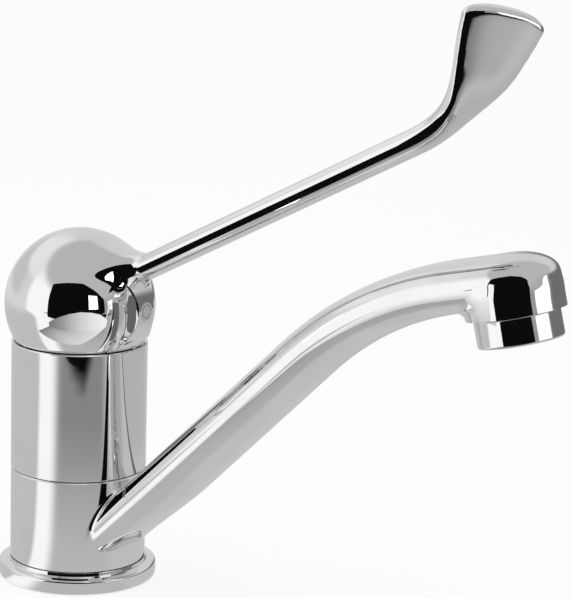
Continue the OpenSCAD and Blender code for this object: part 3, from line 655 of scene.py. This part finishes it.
groove_out_r = PLUG_R - PLUG_RIM
groove_in_r = groove_out_r - PLUG_GROOVE
plug = turned("plug", [
    (0, -PLUG_DEPTH, 0), (PLUG_R, -PLUG_DEPTH, 0), (PLUG_R, 0, 0.25), (groove_out_r, 0, 0.15),
    (groove_out_r, -PLUG_GROOVE, 0), (groove_in_r, -PLUG_GROOVE, 0), (groove_in_r, 0, 0.2),
    (0, PLUG_CROWN, 0),
], boss_place(PLUG_FACE), SMALL_STEPS)
smooth_shaded(plug)


# Materials
def material(name):
    """A new material with its nodes, links and main shader."""
    made = bpy.data.materials.new(name)
    made.use_nodes = True
    tree = made.node_tree
    shader = next(n for n in tree.nodes if n.type == "BSDF_PRINCIPLED")
    return made, tree, shader


def noise(tree, scale, stretch, detail=4.0):
    """A noise pattern in the object's own metres; a larger stretch makes it finer that way."""
    place = tree.nodes.new("ShaderNodeTexCoord")
    shape = tree.nodes.new("ShaderNodeMapping")
    shape.inputs["Scale"].default_value = stretch
    made = tree.nodes.new("ShaderNodeTexNoise")
    made.inputs["Scale"].default_value = scale
    made.inputs["Detail"].default_value = detail
    tree.links.new(place.outputs["Object"], shape.inputs["Vector"])
    tree.links.new(shape.outputs["Vector"], made.inputs["Vector"])
    return made.outputs["Fac"]


# Noise seldom leaves these values, so colours and numbers are spread between them
NOISE_LOW = 0.3
NOISE_HIGH = 0.7


def spread(tree, value, low, high):
    """A pattern spread between two numbers."""
    made = tree.nodes.new("ShaderNodeMapRange")
    made.inputs["From Min"].default_value = NOISE_LOW
    made.inputs["From Max"].default_value = NOISE_HIGH
    made.inputs["To Min"].default_value = low
    made.inputs["To Max"].default_value = high
    tree.links.new(value, made.inputs["Value"])
    return made.outputs["Result"]


def tint(tree, value, dark, light):
    """A pattern as a colour between two colours."""
    ramp = tree.nodes.new("ShaderNodeValToRGB")
    ramp.color_ramp.elements[0].position = NOISE_LOW
    ramp.color_ramp.elements[0].color = (*dark, 1)
    ramp.color_ramp.elements[1].position = NOISE_HIGH
    ramp.color_ramp.elements[1].color = (*light, 1)
    tree.links.new(value, ramp.inputs["Fac"])
    return ramp.outputs["Color"]


def relief(tree, shader, value, depth):
    """A pattern as fine relief of a depth in metres."""
    bump = tree.nodes.new("ShaderNodeBump")
    bump.inputs["Distance"].default_value = depth
    bump.inputs["Strength"].default_value = 1.0
    tree.links.new(value, bump.inputs["Height"])
    tree.links.new(bump.outputs["Normal"], shader.inputs["Normal"])


def surface(name, dark, light, rough, metallic=0.0, scale=300.0, stretch=(1, 1, 1), depth=0.0):
    """A surface whose colour and roughness vary with fine noise, with relief where a depth is given."""
    made, tree, shader = material(name)
    pattern = noise(tree, scale, stretch)
    shader.inputs["Metallic"].default_value = metallic
    tree.links.new(tint(tree, pattern, dark, light), shader.inputs["Base Color"])
    tree.links.new(spread(tree, pattern, *rough), shader.inputs["Roughness"])
    if depth:
        relief(tree, shader, pattern, depth)
    return made


chrome = surface(
    "polished_chrome", (0.80, 0.80, 0.805), (0.84, 0.84, 0.845), rough=(0.015, 0.035), metallic=1.0,
    scale=60.0)
cast_chrome = surface(
    "chrome_inside", (0.62, 0.62, 0.63), (0.70, 0.70, 0.71), rough=(0.15, 0.28), metallic=1.0, scale=400.0)
steel = surface(
    "turned_steel", (0.42, 0.42, 0.43), (0.56, 0.56, 0.57), rough=(0.25, 0.40), metallic=1.0, scale=900.0,
    stretch=(1, 1, 8))
brass = surface(
    "turned_brass", (0.60, 0.44, 0.20), (0.74, 0.57, 0.30), rough=(0.22, 0.38), metallic=1.0, scale=700.0,
    stretch=(1, 1, 6))
rubber = surface(
    "black_rubber", (0.012, 0.012, 0.012), (0.03, 0.03, 0.03), rough=(0.55, 0.8), scale=1500.0, depth=2e-5)
white = surface(
    "white_acetal", (0.72, 0.72, 0.70), (0.82, 0.82, 0.80), rough=(0.35, 0.5), scale=900.0, depth=1e-5)
grey = surface(
    "grey_plastic", (0.38, 0.39, 0.40), (0.48, 0.49, 0.50), rough=(0.4, 0.6), scale=1200.0, depth=1e-5)
ceramic = surface(
    "lapped_ceramic", (0.80, 0.79, 0.76), (0.88, 0.87, 0.84), rough=(0.12, 0.2), scale=1500.0)
plug_grey = surface(
    "plug_plastic", (0.46, 0.46, 0.46), (0.56, 0.56, 0.56), rough=(0.2, 0.3), scale=1500.0)


def dress(piece, look, body, slot, *stands_for):
    """Gives a new piece its look, body and the nodes that it stands for; the slot is not used."""
    piece.data.materials.clear()
    piece.data.materials.append(look)
    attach(piece, body)
    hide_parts(*stands_for)


dress(lever, chrome, "lever", "chrome", "lever_handle")
dress(spout, chrome, "spout", "chrome", "spout")
dress(base, chrome, "body", "chrome", "base_ring")
dress(body, chrome, "body", "chrome", "valve_body")
dress(aerator, chrome, "spout", "chrome", "aerator_shell")
dress(plug, plug_grey, "lever", "plug_plastic", "index_plug")

slot_looks = {
    "chrome": cast_chrome, "brass": brass, "steel": steel, "rubber": rubber, "white_plastic": white,
    "grey_plastic": grey, "ceramic": ceramic, "plug_plastic": plug_grey,
}
for part in frame["record"]["subparts"]:
    kept = nodes[part["node"]]
    if not kept.hide_render:
        for holder in kept.material_slots:
            holder.material = slot_looks[part["material_slot"]]

# The camera, as fitted to the photograph
CAMERA_AT = Vector((558.11, -714.34, 304.77))
CAMERA_RIGHT = Vector((0.8308, 0.5558, 0.0278))
CAMERA_UP = Vector((-0.1442, 0.1667, 0.9754))
IMAGE_H = 598
FOCAL_PIXELS = 2635
SENSOR = 36.0
lens = bpy.data.cameras.new("camera")
lens.sensor_fit = "VERTICAL"
lens.sensor_height = SENSOR
lens.lens = FOCAL_PIXELS / IMAGE_H * SENSOR
lens.clip_start = 0.01
camera = bpy.data.objects.new("camera", lens)
right = CAMERA_RIGHT.normalized()
up = (CAMERA_UP - right * CAMERA_UP.dot(right)).normalized()
turn = Matrix((right, up, right.cross(up))).transposed()
camera.matrix_world = Matrix.Translation(CAMERA_AT * MM) @ turn.to_4x4()
bpy.context.scene.collection.objects.link(camera)
bpy.context.scene.camera = camera

# Studio: a white world and floor, and a tent, table and cards that only reflections see
AMBIENT = 0.75
FLOOR_HALF = 4000
FLOOR_TONE = 0.9
FLOOR_ROUGH = 0.9
FLOOR_SHOWN = 0.88


def seen_white(tree):
    """One for rays from the camera and in reflections and glass, and nought for other light."""
    path = tree.nodes.new("ShaderNodeLightPath")
    total = path.outputs["Is Camera Ray"]
    for name in ("Is Glossy Ray", "Is Transmission Ray"):
        add = tree.nodes.new("ShaderNodeMath")
        add.operation = "ADD"
        add.use_clamp = True
        tree.links.new(total, add.inputs[0])
        tree.links.new(path.outputs[name], add.inputs[1])
        total = add.outputs["Value"]
    return total


world = bpy.data.worlds.new("studio")
bpy.context.scene.world = world
world.use_nodes = True
tree = world.node_tree
tree.nodes.clear()
ambient = tree.nodes.new("ShaderNodeBackground")
ambient.inputs["Color"].default_value = (1, 1, 1, 1)
ambient.inputs["Strength"].default_value = AMBIENT
shown = tree.nodes.new("ShaderNodeBackground")
shown.inputs["Color"].default_value = (1, 1, 1, 1)
shown.inputs["Strength"].default_value = 1.0
choose = tree.nodes.new("ShaderNodeMixShader")
end = tree.nodes.new("ShaderNodeOutputWorld")
tree.links.new(seen_white(tree), choose.inputs["Fac"])
tree.links.new(ambient.outputs[0], choose.inputs[1])
tree.links.new(shown.outputs[0], choose.inputs[2])
tree.links.new(choose.outputs[0], end.inputs["Surface"])

floor_corners = [(x * FLOOR_HALF, y * FLOOR_HALF, 0) for x, y in ((-1, -1), (1, -1), (1, 1), (-1, 1))]
floor = mesh_object("floor", floor_corners, [(0, 1, 2, 3)])
look, tree, shader = material("floor_white")
shader.inputs["Base Color"].default_value = (FLOOR_TONE, FLOOR_TONE, FLOOR_TONE, 1)
shader.inputs["Roughness"].default_value = FLOOR_ROUGH
glow = tree.nodes.new("ShaderNodeEmission")
glow.inputs["Strength"].default_value = 1.0
choose = tree.nodes.new("ShaderNodeMixShader")
share = tree.nodes.new("ShaderNodeMath")
share.operation = "MULTIPLY"
share.inputs[1].default_value = FLOOR_SHOWN
tree.links.new(seen_white(tree), share.inputs[0])
tree.links.new(share.outputs["Value"], choose.inputs["Fac"])
tree.links.new(shader.outputs[0], choose.inputs[1])
tree.links.new(glow.outputs[0], choose.inputs[2])
end = next(n for n in tree.nodes if n.type == "OUTPUT_MATERIAL")
tree.links.new(choose.outputs[0], end.inputs["Surface"])
floor.data.materials.append(look)

# The tent stands in a frame with X to the camera's right, Y towards the camera and Z up
level_right = right.to_2d().to_3d().normalized()
tent = Matrix((level_right, level_right.cross(Vector((0, 0, 1))), Vector((0, 0, 1)))).transposed()


def toned(name, corners, faces, tones):
    """A glowing surface that only reflections see: points in the tent's frame, each with a tone."""
    obj = mesh_object(name, [tent @ Vector(c) for c in corners], faces)
    values = obj.data.attributes.new("tone", "FLOAT", "POINT").data
    values.foreach_set("value", np.asarray(tones, dtype=float))
    look, tree, shader = material(name)
    tree.nodes.remove(shader)
    tone = tree.nodes.new("ShaderNodeAttribute")
    tone.attribute_name = "tone"
    glow = tree.nodes.new("ShaderNodeEmission")
    end = next(n for n in tree.nodes if n.type == "OUTPUT_MATERIAL")
    tree.links.new(tone.outputs["Fac"], glow.inputs["Strength"])
    tree.links.new(glow.outputs[0], end.inputs["Surface"])
    obj.data.materials.append(look)
    obj.visible_camera = False
    obj.visible_diffuse = False
    obj.visible_shadow = False
    obj.visible_transmission = False
    return obj


def card(name, corners, tone):
    """A flat card of one tone."""
    return toned(name, corners, [tuple(range(len(corners)))], [tone] * len(corners))


def upright(name, start, finish, low, high, tone):
    """A card standing between two points of the floor."""
    (x0, y0), (x1, y1) = start, finish
    return card(name, [(x0, y0, low), (x1, y1, low), (x1, y1, high), (x0, y0, high)], tone)


def pair_faces(count):
    """Faces of a ribbon whose points come in pairs, one on each edge."""
    return [(i, i + 1, i + 3, i + 2) for i in range(0, count - 2, 2)]


def bearing(az, el):
    """The direction in the tent at degrees right of the camera and above the horizon."""
    a, e = np.radians(az), np.radians(el)
    return np.array((np.sin(a) * np.cos(e), np.cos(a) * np.cos(e), np.sin(e)))


def step(x, edge, width):
    """A soft step from 0 to 1 about an edge."""
    return smooth((x - edge) / width + 0.5)


def between(x, low, high, width):
    """One between two soft edges and nought outside them."""
    return step(x, low, width) * (1 - step(x, high, width))


# Tones of the tent, table and cards as the chrome shows them
LEFT = 0.78
LEFT_HIGH = 0.92
LEFT_BAND = 0.62
BACK = 0.72
GREY = 0.55
SHADE = 0.18
BESIDE = 0.36
STRIP = 1.12
TABLE = 0.60
TABLE_RIGHT = 0.52
FRONT_NEAR = 0.55
FRONT_FAR = 0.28
DARK = 0.004
LAMP_TONE = 2.5
PANEL_TONE = 1.4
BOSS_TONE = 0.145

# Where the tent's tones lie: spans of bearing and height as (low, high, softness), and single soft edges
LEFT_SPAN = (-165, -20, 30)
LEFT_RISE = (33, 10)
BAND_SPAN = (-158, -104, 24)
BAND_HEIGHT = (8, 31, 9)
STRIP_SPAN = (-84, -36, 8)
STRIP_TOP = (40, 24)
CAP_CENTRE = bearing(28, 62)
CAP_EDGE = (54, 12)
BESIDE_SPAN = (30, 80, 12)
BESIDE_TOP = (20, 12)
SHADE_SPAN = (78, 165, 14)
SHADE_TOP = (24, 14)

# Where the table's tones lie, in degrees round it and millimetres out from the body's axis
RIGHT_SPAN = (60, 150, 30)
RIGHT_FROM = (170, 80)
FRONT_FALL = (150, 220)
FRONT_LEFT = (-32, 24)
FRONT_RIGHT = (46, 16)
FAR_FROM = (550, 500)
RUNOUT_LEFT = (-64, 8)
RUNOUT_TURN = 20
RUNOUT_RIGHT = (-36, 18)
FRONT_EDGE = (300, 60)
FRONT_MIDDLE = 60
FRONT_SLANT = 0.35
FAR_SHADE_SPAN = (55, 165, 20)
FAR_SHADE_FROM = (560, 80)


def dome_tone(az, el):
    """Tone of the tent: light at the left, grey overhead and dark at the right, with a bright strip."""
    tone = LEFT + (LEFT_HIGH - LEFT) * step(el, *LEFT_RISE)
    tone += (LEFT_BAND - tone) * between(az, *BAND_SPAN) * between(el, *BAND_HEIGHT)
    tone += (BACK - tone) * (1 - between(az, *LEFT_SPAN))
    tone += (STRIP - tone) * between(az, *STRIP_SPAN) * (1 - step(el, *STRIP_TOP))
    away = np.degrees(np.arccos(np.clip(bearing(az, el) @ CAP_CENTRE, -1, 1)))
    tone += (GREY - tone) * (1 - step(away, *CAP_EDGE))
    tone += (BESIDE - tone) * between(az, *BESIDE_SPAN) * (1 - step(el, *BESIDE_TOP))
    return tone + (SHADE - tone) * between(az, *SHADE_SPAN) * (1 - step(el, *SHADE_TOP))


def table_tone(az, r):
    """Tone of the table: the strip runs out across it, and it falls off at the front edge and far right."""
    x, y, _ = r * bearing(az, 0)
    front = FRONT_NEAR + (FRONT_FAR - FRONT_NEAR) * step(r, *FRONT_FALL)
    tone = TABLE + (TABLE_RIGHT - TABLE) * between(az, *RIGHT_SPAN) * step(r, *RIGHT_FROM)
    tone += (front - tone) * step(az, *FRONT_LEFT) * (1 - step(az, *FRONT_RIGHT))
    far = step(r, *FAR_FROM)
    tone += (LEFT - tone) * far * between(az, *LEFT_SPAN)
    tone += (STRIP - tone) * step(az + RUNOUT_TURN * far, *RUNOUT_LEFT) * (1 - step(az, *RUNOUT_RIGHT))
    tone += (DARK - tone) * step(y - FRONT_SLANT * abs(x - FRONT_MIDDLE), *FRONT_EDGE)
    return tone + (SHADE - tone) * step(r, *FAR_SHADE_FROM) * between(az, *FAR_SHADE_SPAN)


def polar_sheet(name, rows, place, tone):
    """A toned sheet on a grid of bearings and rows."""
    turns = 144
    corners, tones, faces = [], [], []
    for row in rows:
        for i in range(turns):
            az = -180 + 360 * i / turns
            corners.append(place(az, row))
            tones.append(float(tone(az, row)))
    for j in range(len(rows) - 1):
        for i in range(turns):
            a, b = j * turns + i, j * turns + (i + 1) % turns
            faces.append((a, b, b + turns, a + turns))
    return toned(name, corners, faces, tones)


DOME_R = 900
DOME_ROWS = np.linspace(-10, 89.5, 60)
TABLE_ROWS = np.geomspace(28.6, DOME_R, 40)
TABLE_LIFT = np.array((0, 0, 0.3))
polar_sheet("dome", DOME_ROWS, lambda az, el: DOME_R * bearing(az, el), dome_tone)
polar_sheet("table", TABLE_ROWS, lambda az, r: r * bearing(az, 0) + TABLE_LIFT, table_tone)

# The dark opening that the camera looks through, a lamp in front of it, a panel and a bright gap
OPENING_Y = 345.0
OPENING = ((-340, 0.4), (205, 0.4), (205, 45), (295, 70), (295, 215), (200, 300), (60, 390),
           (-340, 420))
card("opening", [(x, OPENING_Y, z) for x, z in OPENING], DARK)
upright("lamp", (22, 80), (41, 80), 104, 131, LAMP_TONE)
upright("panel", (450, 432), (450, 140), 95, 223, PANEL_TONE)
upright("gap", (91, 149), (83, 137), 95, 145, STRIP)

# A low pale card in front of the ball, under the opening as the ball mirrors it
ARCH_Y = 50.0
ARCH_LOW = 79.3
ARCH = ((-34, 84.6, 0.24), (-25, 90.5, 0.28), (-16, 94.8, 0.36), (-6, 98.6, 0.55), (4, 100.5, 0.75),
        (15, 99.8, 0.9), (26, 97.0, 1.0), (38, 88.6, 1.05))
arch = [(x, ARCH_Y, ARCH_LOW) for x, _, _ in ARCH] + [(x, ARCH_Y, z) for x, z, _ in ARCH]
arch_faces = [(i, i + 1, i + 1 + len(ARCH), i + len(ARCH)) for i in range(len(ARCH) - 1)]
toned("arch", arch, arch_faces, [tone for _, _, tone in ARCH] * 2)
SHELF_Y = 28.0
SHELF_Z = 84.8
SHELF_TONES = (0.24, 1.05, 0.8, 0.24)
shelf = [(-34, ARCH_Y, ARCH_LOW), (38, ARCH_Y, ARCH_LOW), (2, SHELF_Y, SHELF_Z), (-26, SHELF_Y, SHELF_Z)]
toned("shelf", shelf, [(0, 1, 2, 3)], SHELF_TONES)

# A small grey card that the boss's flank mirrors
upright("boss_card", (16.2, 25), (22, 25), 84, 105, BOSS_TONE)

# A narrow dark ribbon beside the lever's arm, given by its edges from the arm's line, and round its bend
RIBBON = (Vector((-11.2, 7.0, -0.6)), Vector((-8.6, 9.4, -6.6)))
RIBBON_ENDS = (33.0, 150.0)
BEND_RIBBON = ((102, 87, 178), (111, 92, 169), (109, 95, 182), (125, 100, 178), (113, 101, 197),
               (129, 105, 195))
arm_line = [lever_line.start + s * lever_line.along[0] for s in RIBBON_ENDS]
arm_ends = [tent.transposed() @ Vector((x, 0, z)) for x, z in arm_line]
ribbon = [place + edge for place in arm_ends for edge in RIBBON] + list(BEND_RIBBON)
toned("ribbon", ribbon, pair_faces(len(ribbon)), [DARK] * len(ribbon))

# A pale ribbon beside the spout's bend, by its upper and lower edge, that fades downwards
BEND_GLOW = ((45.6, 64.5, 70.3), (45.6, 64.5, 70.0), (64.8, 78.1, 91.6), (66.3, 77.2, 87.8),
             (83.9, 90.9, 109.6), (87.9, 88.3, 102.0), (93.4, 96.7, 116.1), (97.6, 94.3, 108.5),
             (101.9, 102.0, 120.9), (106.4, 99.7, 112.5), (112.8, 108.9, 124.4), (117.3, 106.7, 115.0),
             (122.7, 115.8, 128.4), (128.2, 113.7, 117.5))
GLOW_TONES = (1.1, 0.66)
toned("bend_glow", BEND_GLOW, pair_faces(len(BEND_GLOW)), GLOW_TONES * (len(BEND_GLOW) // 2))

# A soft overhead light that gives the floor its shadow
OVERHEAD_WATTS = 6.0
OVERHEAD_SIZE = 1.2
OVERHEAD_AT = (0.2, -0.3, 1.5)
lamp = bpy.data.lights.new("overhead", "AREA")
lamp.energy = OVERHEAD_WATTS
lamp.size = OVERHEAD_SIZE
overhead = bpy.data.objects.new("overhead", lamp)
overhead.location = OVERHEAD_AT
overhead.visible_glossy = False
bpy.context.scene.collection.objects.link(overhead)

bpy.context.scene.view_settings.view_transform = "Standard"
